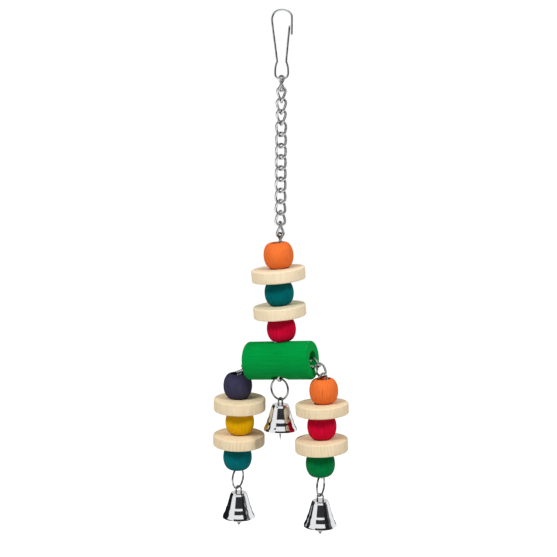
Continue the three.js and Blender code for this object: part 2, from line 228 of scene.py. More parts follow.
def platedWire(name, settings):
    # Nickel-plated steel wire: drawn, bent, then barrel plated, so it mirrors its surroundings with
    # a slight ripple and fine rubbed scratches where the links wear on each other
    material, tree = newMaterial(name)
    where = addNode(tree, "ShaderNodeTexCoord").outputs["Object"]
    ripple = addNode(tree, "ShaderNodeTexNoise", {"Vector": where, "Scale": 1 / (settings["ripple"] * mm),
                                                  "Detail": 3.0})
    rub = addNode(tree, "ShaderNodeTexNoise", {"Vector": where, "Scale": 1 / (settings["rub"] * mm), "Detail": 6.0,
                                               "Roughness": 0.7})
    tone = setRamp(addNode(tree, "ShaderNodeValToRGB", {"Fac": ripple.outputs["Fac"]}),
                   [(0.3, hexColour(settings["dark"])), (0.6, hexColour(settings["light"]))])
    rough = addNode(tree, "ShaderNodeMapRange", {"Value": rub.outputs["Fac"], "From Min": 0.35, "From Max": 0.75,
                                                 "To Min": settings["rough"][0], "To Max": settings["rough"][1]})
    bump = addNode(tree, "ShaderNodeBump", {"Height": rub.outputs["Fac"], "Strength": settings["bump"],
                                            "Distance": scratchDepth * mm})
    shader = addNode(tree, "ShaderNodeBsdfPrincipled", {"Base Color": tone.outputs["Color"], "Metallic": 1.0,
                     "Roughness": rough.outputs["Result"], "Normal": bump.outputs["Normal"]})
    closeMaterial(tree, shader)
    return material


def bellChrome(settings):
    # Bright nickel-chrome on a deep-drawn steel bell: a mirror, with very fine rings left by polishing
    # on the turning spindle and a faint haze where fingers and other bells have touched it
    material, tree = newMaterial("chromedDrawnSteel")
    where = addNode(tree, "ShaderNodeTexCoord").outputs["Object"]
    rings = addNode(tree, "ShaderNodeMapping", {"Vector": where, "Scale": (0.02, 0.02, 1)})
    lines = addNode(tree, "ShaderNodeTexNoise", {"Vector": rings.outputs["Vector"],
                    "Scale": 1 / (settings["lines"] * mm), "Detail": 2.0})
    haze = addNode(tree, "ShaderNodeTexNoise", {"Vector": where, "Scale": 1 / (settings["haze"] * mm), "Detail": 5.0})
    rough = addNode(tree, "ShaderNodeMapRange", {"Value": haze.outputs["Fac"], "From Min": 0.35, "From Max": 0.75,
                                                 "To Min": settings["rough"][0], "To Max": settings["rough"][1]})
    bump = addNode(tree, "ShaderNodeBump", {"Height": lines.outputs["Fac"], "Strength": settings["bump"],
                                            "Distance": settings["lineDepth"] * mm})
    shader = addNode(tree, "ShaderNodeBsdfPrincipled", {"Base Color": hexColour(settings["colour"]), "Metallic": 1.0,
                     "Roughness": rough.outputs["Result"], "Normal": bump.outputs["Normal"]})
    closeMaterial(tree, shader)
    return material


def dyedWood(name, settings):
    # Turned beech soaked in food-safe dye: matt and nearly even in colour, with faint fibres along the hole,
    # short pores, growth rings on the ends where more dye soaks in, and small pale nicks on the edges. The end colour
    # is that darker soaked dye on the beads, and on the log a painted lighter tone for the light on its end faces
    material, tree = newMaterial(name)
    where = addNode(tree, "ShaderNodeAttribute", attribute_name="grain").outputs["Vector"]
    wear = addNode(tree, "ShaderNodeAttribute", attribute_name="wear").outputs["Fac"]
    end = addNode(tree, "ShaderNodeAttribute", attribute_name="endGrain").outputs["Fac"]
    along = addNode(tree, "ShaderNodeMapping", {"Vector": where, "Scale": (1, 1, settings["stretch"])})
    fibre = addNode(tree, "ShaderNodeTexNoise", {"Vector": along.outputs["Vector"],
                    "Scale": 1 / (settings["fibre"] * mm), "Detail": 4.0, "Roughness": 0.55})
    # the wave texture repeats each 0.314 / scale, which here is the ring spacing
    rings = addNode(tree, "ShaderNodeTexWave", {"Vector": where, "Scale": 0.314 / (settings["rings"] * mm),
                    "Distortion": 1.6, "Detail": 2.0, "Detail Scale": 0.3}, wave_type="RINGS", rings_direction="Z")
    patch = addNode(tree, "ShaderNodeTexNoise", {"Vector": where, "Scale": 1 / (settings["patch"] * mm),
                                                 "Detail": 3.0})
    short = addNode(tree, "ShaderNodeMapping", {"Vector": where, "Scale": (1, 1, settings["poreStretch"])})
    pores = addNode(tree, "ShaderNodeTexNoise", {"Vector": short.outputs["Vector"],
                    "Scale": 1 / (settings["poreSize"] * mm), "Detail": 1.0})
    ringShare = addNode(tree, "ShaderNodeMath", {0: rings.outputs["Fac"], 1: settings["ringShare"]},
                        operation="MULTIPLY")
    cloud = addNode(tree, "ShaderNodeMath", {0: patch.outputs["Fac"], 1: settings["cloud"],
                    2: ringShare.outputs["Value"]}, operation="MULTIPLY_ADD")
    grain = addNode(tree, "ShaderNodeMath", {0: fibre.outputs["Fac"], 1: cloud.outputs["Value"]}, operation="ADD")
    middle = 0.5 + 0.5 * settings["cloud"] + 0.5 * settings["ringShare"]
    tone = setRamp(addNode(tree, "ShaderNodeValToRGB", {"Fac": grain.outputs["Value"]}),
                   [(middle - settings["toLight"], hexColour(settings["light"])),
                    (middle, hexColour(settings["colour"])),
                    (min(1.0, middle + settings["toDark"]), hexColour(settings["dark"]))])
    # the end colour: darker soaked-in dye on the bead ends, a greyer tone on the top discs' faces, and on the log a
    # painted lighter tone for light falling on its end faces
    soakAndLightMask = addNode(tree, "ShaderNodeMath", {0: end, 1: settings["endSoakAndLight"]}, operation="MULTIPLY")
    endsSoakedAndLit = addNode(tree, "ShaderNodeMix", {0: soakAndLightMask.outputs["Value"], 6: tone.outputs["Color"],
                     7: hexColour(settings.get("endSoakAndLightColour", settings["dark"]))}, data_type="RGBA")
    poreMask = addNode(tree, "ShaderNodeMapRange", {"Value": pores.outputs["Fac"],
                       "From Min": settings["poreFade"][0], "From Max": settings["poreFade"][1], "To Min": 0.0,
                       "To Max": settings["pores"]})
    withPores = addNode(tree, "ShaderNodeMix", {0: poreMask.outputs["Result"], 6: endsSoakedAndLit.outputs[2],
                        7: hexColour(settings["pore"])}, data_type="RGBA")
    nicks = addNode(tree, "ShaderNodeTexNoise", {"Vector": where, "Scale": 1 / (settings["nick"] * mm), "Detail": 3.0})
    breakUp = addNode(tree, "ShaderNodeMath", {0: wear, 1: nicks.outputs["Fac"]}, operation="MULTIPLY")
    wearMask = addNode(tree, "ShaderNodeMapRange", {"Value": breakUp.outputs["Value"],
                       "From Min": settings["wearFade"][0], "From Max": settings["wearFade"][1], "To Min": 0.0,
                       "To Max": settings["rubbed"]})
    worn = addNode(tree, "ShaderNodeMix", {0: wearMask.outputs["Result"], 6: withPores.outputs[2],
                   7: hexColour(settings["worn"])}, data_type="RGBA")
    surface = worn.outputs[2]
    if "splitColour" in settings:
        # a drying split: a fine wavering dark line along the grain, "split" holds mm from its middle
        spot = addNode(tree, "ShaderNodeSeparateXYZ", {"Vector": addNode(tree, "ShaderNodeAttribute",
                       attribute_name="split").outputs["Vector"]})
        waver = addNode(tree, "ShaderNodeMath", {0: patch.outputs["Fac"], 1: split["waver"], 2: spot.outputs["X"]},
                        operation="MULTIPLY_ADD")
        away = addNode(tree, "ShaderNodeMath", {0: waver.outputs["Value"]}, operation="ABSOLUTE")
        line = addNode(tree, "ShaderNodeMapRange", {"Value": away.outputs["Value"], "From Min": split["core"],
                       "From Max": split["edge"], "To Min": split["depth"], "To Max": 0.0})
        reach = addNode(tree, "ShaderNodeMath", {0: spot.outputs["Z"]}, operation="ABSOLUTE")
        fade = addNode(tree, "ShaderNodeMapRange", {"Value": reach.outputs["Value"], "From Min": split["full"],
                       "From Max": split["end"], "To Min": 1.0, "To Max": 0.0})
        splitMask = addNode(tree, "ShaderNodeMath", {0: line.outputs["Result"], 1: fade.outputs["Result"]},
                            operation="MULTIPLY")
        surface = addNode(tree, "ShaderNodeMix", {0: splitMask.outputs["Value"], 6: surface,
                          7: hexColour(settings["splitColour"])}, data_type="RGBA").outputs[2]
    rough = addNode(tree, "ShaderNodeMapRange", {"Value": fibre.outputs["Fac"], "From Min": 0.3, "From Max": 0.7,
                                                 "To Min": settings["rough"][0], "To Max": settings["rough"][1]})
    relief = addNode(tree, "ShaderNodeMath", {0: fibre.outputs["Fac"], 1: poreMask.outputs["Result"]},
                     operation="SUBTRACT")
    bump = addNode(tree, "ShaderNodeBump", {"Height": relief.outputs["Value"], "Strength": settings["bump"],
                                            "Distance": settings["fibreDepth"] * mm})
    shader = addNode(tree, "ShaderNodeBsdfPrincipled", {"Base Color": surface,
                     "Roughness": rough.outputs["Result"], "IOR": 1.5, "Specular IOR Level": settings["specular"],
                     "Normal": bump.outputs["Normal"]})
    closeMaterial(tree, shader)
    return material


# fibre, rings, patch, poreSize, nick and fibreDepth are mm, and real pores are finer than 0.5 mm but wouldn't show
dyedBead = {"fibre": 0.9, "stretch": 0.08, "rings": 1.8, "ringShare": 0.1, "patch": 7, "cloud": 0.35, "pores": 0.25,
            "poreSize": 0.5, "poreStretch": 0.16, "nick": 1.1, "endSoakAndLight": 0.5, "rubbed": 0.35, "rough": (0.72, 0.85),
            "fibreDepth": 0.06, "bump": 0.12, "specular": 0.06, "toLight": 0.34, "toDark": 0.3,
            "poreFade": (0.62, 0.76), "wearFade": (0.56, 0.66)}
woodColours = {
    "orangeDyedBeech": {"colour": "E87233", "light": "EC7A3D", "dark": "DF672B", "pore": "C05420", "worn": "F6A878"},
    "tealDyedBeech": {"colour": "006469", "light": "036C72", "dark": "005A5F", "pore": "004048", "worn": "3FA3AE"},
    "redDyedBeech": {"colour": "CB0732", "light": "D00F39", "dark": "BD022B", "pore": "86001B", "worn": "DE5A70"},
    "navyDyedBeech": {"colour": "3A384E", "light": "413F58", "dark": "333146", "pore": "1D1928", "worn": "6A6580"},
    "yellowDyedBeech": {"colour": "DDA704", "light": "E3B112", "dark": "D19B00", "pore": "A07000", "worn": "F0D878"},
    "greenDyedBeech": {"colour": "007339", "light": "027B40", "dark": "006831", "pore": "004A22", "worn": "4FA276"},
}
woodMaterials = {name: dyedWood(name, {**dyedBead, **colours}) for name, colours in woodColours.items()}
woodMaterials["orangeDyedSplitBeech"] = dyedWood("orangeDyedSplitBeech", {
    **dyedBead, **woodColours["orangeDyedBeech"], "splitColour": "9A3E14"})
# its ends and bore take a lighter green: painted light for the light that falls on the log's end faces
woodMaterials["greenDyedLog"] = dyedWood("greenDyedLog", {**dyedBead, "colour": "008C3A", "light": "03923F",
    "dark": "008134", "pore": "00702B", "worn": "9CCB8E", "fibre": 1.0, "stretch": 0.06, "rings": 3, "patch": 11,
    "rubbed": 0.45, "pores": 0.35, "endSoakAndLight": 0.8, "endSoakAndLightColour": "039C42"})
plainDisc = {**dyedBead, "colour": "E9D5B2", "light": "EDDBBB", "dark": "E1CAA4", "pore": "C6A67C", "worn": "F1E6CD",
             "fibre": 0.8, "stretch": 0.12, "rings": 2.3, "ringShare": 0.2, "patch": 8, "pores": 0.45, "endSoakAndLight": 0.0}
woodMaterials["plainBeechDisc"] = dyedWood("plainBeechDisc", plainDisc)
# the top string's discs get a paler copy of the same wood: painted light for the stronger light on the top of the toy
woodMaterials["litPaleBeechDisc"] = dyedWood("litPaleBeechDisc", {**plainDisc, "colour": "EEDBBA", "light": "F1E1C4",
                                                            "dark": "E7D2AE", "ringShare": 0.06,
                                                            "endSoakAndLight": 0.8, "endSoakAndLightColour": "D4CDB0"})
wirePlate = platedWire("nickelPlatedWire", {"ripple": 2.5, "rub": 0.35, "dark": "97999B", "light": "C0C0BE",
                                            "rough": (0.1, 0.26), "bump": 0.2})
clipPlate = platedWire("zincPlatedSpringWire", {"ripple": 4, "rub": 0.3, "dark": "989B9E", "light": "C4C7C8",
                                                "rough": (0.12, 0.28), "bump": 0.2})
clapperPlate = platedWire("nickelPlatedSheet", {"ripple": 3, "rub": 0.25, "dark": "6A6C6D", "light": "949594",
                                                "rough": (0.22, 0.4), "bump": 0.35})
# the rings and bell hangers get a darker copy of the plated wire: painted shade for the dark reflections their thin
# wire shows
shadedRingPlate = platedWire("nickelPlatedRingWirePaintedDark", {"ripple": 2.5, "rub": 0.35, "dark": "5C5E60", "light": "9C9D9C",
                                                "rough": (0.1, 0.24), "bump": 0.2})
chrome = bellChrome({"lines": 0.25, "haze": 3, "rough": (0.04, 0.11), "bump": 0.12, "lineDepth": 0.02,
                     "colour": "E4E5E6"})
print("materials ready")


clip = {"wire": 1.35, "height": 48.7, "archWidth": 15.2, "shoulderDrop": 6.6, "kinkDrop": 3.6, "waistWidth": 7.5,
        "waistHeight": 12, "loopWidth": 10.4, "hookReach": 17, "footTurn": 0.15, "gateOverlap": 6.4, "gap": 0.1,
        "kinkFull": 0.66, "shoulderFull": 0.88, "easeRounds": 3}    # the two full shares say how square the arch is
roundedEnd = (0.6, 0.86, 0.97, 1)    # the wire's share of its width at the last points before a free end


def quadratic(start, control, end, steps=18):
    points = []
    for i in range(steps + 1):
        t = i / steps
        points.append(tuple((1 - t) ** 2 * a + 2 * t * (1 - t) * b + t * t * c for a, b, c in zip(start, control, end)))
    return points


def joinPaths(*paths):
    whole = list(paths[0])
    for path in paths[1:]:
        whole += path[1:]
    return [Vector((x, 0, z)) for x, z in whole]


def easeBends(points):
    # Takes the sharpest turns out of the wire, as a real bend has a radius
    for _ in range(clip["easeRounds"]):
        points = [points[0]] + [(a + 2 * b + c) / 4 for a, b, c in zip(points, points[1:], points[2:])] + [points[-1]]
    return points


def makeClip():
    arch = (clip["archWidth"] - clip["wire"]) / 2
    waistSide = (clip["waistWidth"] - clip["wire"]) / 2
    loop = (clip["loopWidth"] - clip["wire"]) / 2
    top = clip["wire"] / 2
    foot = top + clip["wire"] - clip["height"]
    middle, waist = foot + loop, foot + clip["waistHeight"]
    hook = top - clip["hookReach"]
    kink, shoulder = (arch, top - clip["kinkDrop"]), (-arch, top - clip["shoulderDrop"])
    framePath = joinPaths(
        quadratic((arch - clip["footTurn"], hook), (arch, hook + clip["wire"]), (arch, hook + 2 * clip["wire"])),
        quadratic((arch, hook + 2 * clip["wire"]), (arch, (hook + kink[1]) / 2), kink, 16),
        quadratic(kink, (arch * clip["kinkFull"], top), (0, top), 24),
        quadratic((0, top), (-arch * clip["shoulderFull"], top), shoulder, 24),
        quadratic(shoulder, ((shoulder[0] - waistSide) / 2, (shoulder[1] + waist) / 2), (-waistSide, waist), 40),
        quadratic((-waistSide, waist), (-loop, waist - loop / 2), (-loop, middle)),
        quadratic((-loop, middle), (-loop, foot), (0, foot), 20),
        quadratic((0, foot), (loop, foot), (loop, middle), 20))
    tip = (arch - clip["footTurn"] - clip["wire"] - clip["gap"], hook + clip["gateOverlap"])
    gatePath = joinPaths(
        quadratic((loop, middle), (loop, waist - loop / 2), (waistSide, waist)),
        quadratic((waistSide, waist), ((waistSide + tip[0]) / 2, (waist + tip[1]) / 2), tip, 40))

    # the two legs meet flat at the side of the loop, and only the free ends are rounded
    frameMesh = wireMesh("clipWire", easeBends(framePath), clip["wire"], swell=lambda i: roundedEnd[min(i, 3)])
    gateMesh = wireMesh("clipGateWire", easeBends(gatePath), clip["wire"],
                        swell=lambda i: roundedEnd[min(len(gatePath) - 1 - i, 3)])
    placePiece("clipWire", frameMesh, Matrix.Identity(4), clipPlate, "clip_frame")
    placePiece("clipGateWire", gateMesh, Matrix.Identity(4), clipPlate, "clip_gate")


makeClip()
print("clip bent")


# the twisted curb chain
link = {"wire": 1.7, "width": 8.1, "span": 10, "twist": 90, "crownGap": 0.5, "takeUp": 0.15, "weld": 1.07,
        "weldReach": 1.6, "bendSteps": 14, "straightSteps": 8}
shownLink = {**link, "wire": 1.76, "width": 8.35}    # the links that show whole are a touch stouter
sideLink = {**link, "wire": 1.62, "weld": 1.03}      # those that hinge over the log's edge need room to swing


def loopPoints(width, height, endRadius, twist=0.0):
    # Round top, straight sides and rounded foot, from height 0 down, twisted about the long axis
    side = width / 2
    bendSteps, straightSteps = link["bendSteps"], link["straightSteps"]
    flat = []
    for i in range(bendSteps):
        angle = math.radians(90 - 90 * i / bendSteps)
        flat.append((side * math.cos(angle), -side + side * math.sin(angle)))
    low = endRadius - height
    for i in range(straightSteps):
        flat.append((side, -side + (low + side) * i / straightSteps))
    for i in range(bendSteps):
        angle = math.radians(-90 * i / bendSteps)
        flat.append((side - endRadius + endRadius * math.cos(angle), low + endRadius * math.sin(angle)))
    if side > endRadius:
        flat.append((side - endRadius, -height))
    mirrored = [(-x, y) for x, y in reversed(flat[1:])]
    points = []
    for x, y in flat + [(0, -height)] * (side <= endRadius) + mirrored:
        turn = math.radians(twist) * (0.5 + y / height)
        points.append(Vector((x * math.cos(turn), x * math.sin(turn), y)))
    return points


def linkMesh(name, size, span, shift):
    side = size["width"] - size["wire"]
    points = loopPoints(side, span, side / 2, size["twist"])
    weldAt = link["bendSteps"] + link["straightSteps"] // 2    # the butt weld sits halfway down one straight side
    swell = [1 + (size["weld"] - 1) * max(0, 1 - abs(i - weldAt) / link["weldReach"]) for i in range(len(points))]
    mesh = wireMesh(name, points, size["wire"], closed=True, swell=lambda i: swell[i])
    mesh.transform(Matrix.Translation((0, 0, -shift * mm)))
    return mesh


def linkTurn(direction, roll):
    return Vector((0, 0, -1)).rotation_difference(direction) @ Quaternion(zAxis, math.radians(roll))


def freeLink(node, crown, direction, roll, size, takeUp=0.0):
    mesh = linkMesh(node, size, size["span"] + 2 * takeUp, -takeUp)
    placePiece(node.replace("_", "."), mesh, placeAt(crown, linkTurn(direction, roll)), wirePlate, node)


mainChain = {"rolls": [90, -52, -38, -42, -14, 0, 0, 0, 0, 0, 8, 18, 30, 68], "lean": 0.26, "top": -44.65}


def makeMainChain():
    lean = math.radians(mainChain["lean"])
    way = Vector((-math.sin(lean), 0, -math.cos(lean)))
    step = link["span"] - link["wire"] - link["crownGap"]
    for i, roll in enumerate(mainChain["rolls"]):
        crown = Vector((0, 0, mainChain["top"])) + way * step * i
        # takeUp lengthens each link a little at both crowns, so that the chain looks drawn tight
        freeLink(f"chain_link_{i + 1:02d}", crown, way, roll, shownLink, link["takeUp"])


makeMainChain()

sideLinks = {
    "left_link_1": {"crown": (-19.085, 6.011, -245.99), "foot": (-26.94, 9.184, -251.304), "roll": 75},
    "left_link_2": {"crown": (-25.375, 8.552, -249.855), "foot": (-31.433, 11, -257.425), "roll": 71},
    "right_link_1": {"crown": (19.082, -9.41, -242.645), "foot": (27.749, -12.912, -246.196), "roll": -41},
    "right_link_2": {"crown": (26.12, -12.254, -244.625), "foot": (30.358, -13.966, -253.519), "roll": -5},
}
for node, spot in sideLinks.items():
    direction = (Vector(spot["foot"]) - Vector(spot["crown"])).normalized()
    freeLink(node, spot["crown"], direction, spot["roll"], sideLink)

# the hidden runs: from where, to where, and the roll of the first and last link
chainRuns = {
    "top_string_chain": [((-0.501, 0, -153.849), (-0.501, 0, -233.429), 90, 93)],
    "log_inner_chain": [((-0.501, 0, -231.229), (-0.445, -5.896, -258.437), 95, 97),
                        ((-21.077, 6.816, -246.705), (21.152, -10.246, -242.961), 53, 123)],
    "left_string_chain": [((-30.674, 10.693, -255.225), (-30.674, 10.693, -327.842), 60, 16)],
    "right_string_chain": [((29.865, -13.766, -251.319), (28.965, -13.766, -326.187), 11, 23)],
}
hiddenRun = {"fuse": 0.5, "drawIn": 0.27, "topWire": 1.66, "wire": 1.58}


def makeRun(node, runs):
    meshes = []
    isTop = node == "top_string_chain"
    step = link["wire"] - hiddenRun["fuse"]
    takeUp = link["takeUp"] if isTop else 0
    wire = hiddenRun["topWire"] if isTop else hiddenRun["wire"]
    for start, end, rollStart, rollEnd in runs:
        start, end = Vector(start), Vector(end)
        length = (end - start).length
        way = (end - start).normalized()
        count = 1 + 2 * round((length - link["span"]) / (link["span"] - step) / 2)
        span = (length + (count - 1) * step) / count
        for i in range(count):
            # inner crowns draw in, so that neighbours just touch
            above = hiddenRun["drawIn"] if i else -takeUp
            below = hiddenRun["drawIn"] if i < count - 1 else 0
            mesh = linkMesh(node, {**link, "wire": wire}, span - above - below, above)
            roll = rollStart + (rollEnd - rollStart) * i / (count - 1)
            mesh.transform(placeAt(start + way * (span - step) * i, linkTurn(way, roll)))
            meshes.append(mesh)
    placePiece(node.replace("_", "."), joinMeshes(node, meshes), Matrix.Identity(4), wirePlate, node)


for node, runs in chainRuns.items():
    makeRun(node, runs)
print("chain linked")


bead = {"flat": 10.7, "hole": 10, "holeEdge": 0.3, "sideSteps": 28, "round": 72, "wearAt": 6.4, "wearReach": 1.4,
        "flecks": 0.72, "endGrainFrom": 6.5, "endGrainFade": 2.5, "pithAcross": 14, "pithStep": 3, "pithBack": 6}
disc = {"hole": 10.8, "edge": 0.9, "holeEdge": 0.35, "round": 96, "wearAt": 18.4, "wearReach": 1.2, "endGrainTo": 18,
        "pithAcross": 46, "pithStep": 5, "pithBack": 10}
blank = {"turn": 67, "length": 40}


def beadMesh(name, height, width):
    half, flat, hole, edge = height / 2, bead["flat"] / 2, bead["hole"] / 2, bead["holeEdge"]
    bulge = width / 2 - flat
    side = []
    for i in range(bead["sideSteps"] + 1):
        angle = math.radians(-90 + 180 * i / bead["sideSteps"])
        side.append((flat + bulge * math.cos(angle), half * math.sin(angle)))
    outline = arcPoints((hole + edge, -half + edge), edge, 180, 270, 4)[:-1] + side \
        + arcPoints((hole + edge, half - edge), edge, 90, 180, 4)[1:]
    return spinOutline(outline, bead["round"], name)


def discMesh(name, thickness, width):
    half, rim, edge = thickness / 2, width / 2, disc["edge"]
    hole, inner = disc["hole"] / 2, disc["holeEdge"]
    outline = arcPoints((hole + inner, -half + inner), inner, 180, 270, 3) \
        + arcPoints((rim - edge, -half + edge), edge, -90, 0, 6) \
        + arcPoints((rim - edge, half - edge), edge, 0, 90, 6) \
        + arcPoints((hole + inner, half - inner), inner, 90, 180, 3)
    return spinOutline(outline, disc["round"], name)


# each piece: node, wood, height, width, and how far it has slipped across and up (slip, lift) on the chain inside its
# wide hole
strings = {
    "top": {"lean": (2.8, 5.5), "pieces": [
        ("top_bead_orange", "orangeDyedBeech", 18.2, 21.2, -0.25, 0.33),
        ("top_disc_upper", "litPaleBeechDisc", 8.4, 38.2, 0, -0.2),
        ("top_bead_teal", "tealDyedBeech", 17.2, 20.8, 0.1, -0.45),
        ("top_disc_lower", "litPaleBeechDisc", 8.1, 37.5, 0, -0.55),
        ("top_bead_red", "redDyedBeech", 17.25, 20.8, 0.5, -0.67)]},
    "left": {"lean": (3.3, 0), "pieces": [
        ("left_bead_navy", "navyDyedBeech", 17.9, 20.9, -0.1, 0.25),
        ("left_disc_upper", "plainBeechDisc", 8.7, 37.5, 0.85, -0.15),
        ("left_bead_yellow", "yellowDyedBeech", 17.15, 20.9, 0.75, -0.17),
        ("left_disc_lower", "plainBeechDisc", 7.8, 37.5, 0.7, -0.1),
        ("left_bead_teal", "tealDyedBeech", 17.9, 20.9, 0, -0.4)]},
    "right": {"lean": (0.7, 3), "pieces": [
        ("right_bead_orange", "orangeDyedSplitBeech", 17.3, 20.4, 0.1, 0.15),
        ("right_disc_upper", "plainBeechDisc", 7.5, 37.5, -0.65, 0.3),
        ("right_bead_red", "redDyedBeech", 17.45, 20.8, -0.6, 0.37),
        ("right_disc_lower", "plainBeechDisc", 8.7, 37.5, 0, 0.2),
        ("right_bead_green", "greenDyedBeech", 17.75, 20.8, -0.55, -0.12)]},
}
slotOfColour = {"orangeDyedBeech": "wood_orange", "orangeDyedSplitBeech": "wood_orange", "tealDyedBeech": "wood_teal",
                "redDyedBeech": "wood_red", "navyDyedBeech": "wood_navy", "yellowDyedBeech": "wood_yellow",
                "greenDyedBeech": "wood_green"}


def makeStrings():
    count = 0
    for string in strings.values():
        turn = leanTurn(*string["lean"])
        for node, wood, height, width, slip, lift in string["pieces"]:
            count += 1
            # each blank is sawn from another part of the rod, so that no two pieces share their grain. The discs come
            # from further out in the trunk, away from the pith
            spin = Matrix.Rotation(math.radians(blank["turn"] * count), 4, "Z")
            if "_bead_" in node:
                mesh, slot = beadMesh(node, height, width), slotOfColour[wood]
                across = bead["pithAcross"] + bead["pithStep"] * (count % 4)
                markGrain(mesh, spin, (across, bead["pithBack"], blank["length"] * count))
                # rubbed most round the edge of each hole
                markShare(mesh, "wear", lambda p: max(bead["flecks"], 1 - abs(math.hypot(p.x, p.y) - bead["wearAt"])
                                                      / bead["wearReach"]))
                markShare(mesh, "endGrain", lambda p: (abs(p.z) - bead["endGrainFrom"]) / bead["endGrainFade"])
                if "Split" in wood:
                    markSplit(mesh)
            else:
                mesh, slot = discMesh(node, height, width), "natural_wood"
                across = disc["pithAcross"] + disc["pithStep"] * (count % 3)
                markGrain(mesh, spin, (across, disc["pithBack"], blank["length"] * count))
                markShare(mesh, "wear", lambda p: 1 - abs(math.hypot(p.x, p.y) - disc["wearAt"]) / disc["wearReach"])
                markShare(mesh, "endGrain", lambda p: 1 if math.hypot(p.x, p.y) < disc["endGrainTo"] else 0)
            middle = boxMiddle(node) + Vector((slip, 0, lift))
            placePiece(node.replace("_", "."), mesh, placeAt(middle, turn), woodMaterials[wood], node)


makeStrings()
print("beads and discs threaded")


log = {"width": 27.4, "length": 49.6, "edge": 1.9, "bore": 13, "boreEdge": 0.5, "crossHole": 12.8, "yaw": 22,
       "tilt": 4.7, "roll": 16, "knockHeight": 8, "knockIn": 1.2, "knockReach": 2.4, "flecks": 0.74, "round": 96,
       "rows": 12, "pith": (24, 9, 0)}


def makeLog():
    side, end, edge = log["width"] / 2, log["length"] / 2, log["edge"]
    bore, boreEdge = log["bore"] / 2, log["boreEdge"]
    rows = [(side, -end + edge + (log["length"] - 2 * edge) * i / log["rows"]) for i in range(1, log["rows"])]
    outline = arcPoints((bore + boreEdge, -end + boreEdge), boreEdge, 180, 270, 3) \
        + arcPoints((side - edge, edge - end), edge, -90, 0, 7) + rows \
        + arcPoints((side - edge, end - edge), edge, 0, 90, 7) \
        + arcPoints((bore + boreEdge, end - boreEdge), boreEdge, 90, 180, 3)
    mesh = spinOutline(outline, log["round"], "log")
    lay = Matrix.Rotation(math.pi / 2, 4, "Y")
    mesh.transform(lay)
    hole = Matrix.Rotation(-math.radians(log["roll"]), 4, "X")
    mesh = drillMesh(mesh, [(log["crossHole"], log["width"] + 4, hole)])
    markGrain(mesh, lay.inverted(), log["pith"])
    # knocks on the upper part of each end, and a few flecks of bare wood along the side
    markShare(mesh, "wear", lambda p: max(log["flecks"], 1 - abs(abs(p.x) - end + log["knockIn"]) / log["knockReach"]
                                          if p.z > log["knockHeight"] else 0))
    # marks the end faces and the bore, which the log's material paints lighter for the light on its ends
    markShare(mesh, "endGrain", lambda p: 1 if abs(p.x) > end - 0.1 or math.hypot(p.y, p.z) < bore + 0.2 else 0)
    turn = Quaternion(zAxis, -math.radians(log["yaw"])) @ Quaternion((0, 1, 0), -math.radians(log["tilt"]))
    placePiece("drilledLog", mesh, placeAt(boxMiddle("log"), turn), woodMaterials["greenDyedLog"], "log",
               30)


makeLog()
print("log drilled")


ring = {"width": 16.5, "wire": 1.44, "seam": 0.12, "steps": 96}
# the bell's outline is drawn first, then spread and stretched to its height and width
bell = {"height": 18.9, "wall": 0.6, "spread": 1.02, "stretch": 1.06, "round": 96, "capFlat": 5.26,
        "capEdge": (5.32, -0.16), "capRadius": 0.16, "sideFoot": (8.4, -9.4), "lip": (11.27, -17.45), "lipRadius": 0.34,
        "shoulder": [(5.53, -0.45), (5.6, -0.68), (5.76, -0.9), (6.02, -1.35), (6.2, -1.7), (6.26, -1.85)],
        "flare": [(8.62, -9.85), (8.96, -10.5), (9.26, -11.1), (9.4, -11.6), (9.66, -12.6), (9.88, -13.4),
                  (10.04, -13.75), (10.35, -14.35), (10.8, -15.1), (11.18, -15.8), (11.36, -16.2), (11.44, -16.5),
                  (11.53, -16.95), (11.6, -17.4)]}
hanger = {"wire": 1.25, "width": 5.6, "rise": 5.2, "depth": 4, "corner": 0.8, "hole": 1.85}
clapper = {"sheet": 0.8, "strap": 2.2, "width": 8, "tipAngle": 72, "neck": 4.5, "eyeBore": 1.85, "rollFrom": -60,
           "rollTurn": 300, "rollSteps": 24, "bladeTop": 8, "twistDrop": 2.6, "twistLength": 6}
# yaw turns the ring, slip is how far across and up the bell hangs from the middle of its play on it, twist is how far
# the clapper's strap is twisted, and show is how far the clapper reaches below the lip
bells = {
    "centre": {"yaw": -38, "slip": (0.6, 0, -0.1), "twist": 28, "show": 7.0},
    "left": {"yaw": 61, "slip": (0.6, 0, -0.1), "twist": 0, "show": 5.3},
    "right": {"yaw": 68, "slip": (-0.2, 0, -0.1), "twist": 0, "show": 5.3},
}


def ringMesh(name):
    radius = (ring["width"] - ring["wire"]) / 2
    gap = ring["seam"] / radius / 2    # the butt joint of the bent wire, at the side
    points = []
    for i in range(ring["steps"] + 1):
        angle = gap + (2 * math.pi - 2 * gap) * i / ring["steps"]
        points.append(Vector((radius * math.cos(angle), 0, radius * math.sin(angle))))
    return wireMesh(name, points, ring["wire"])


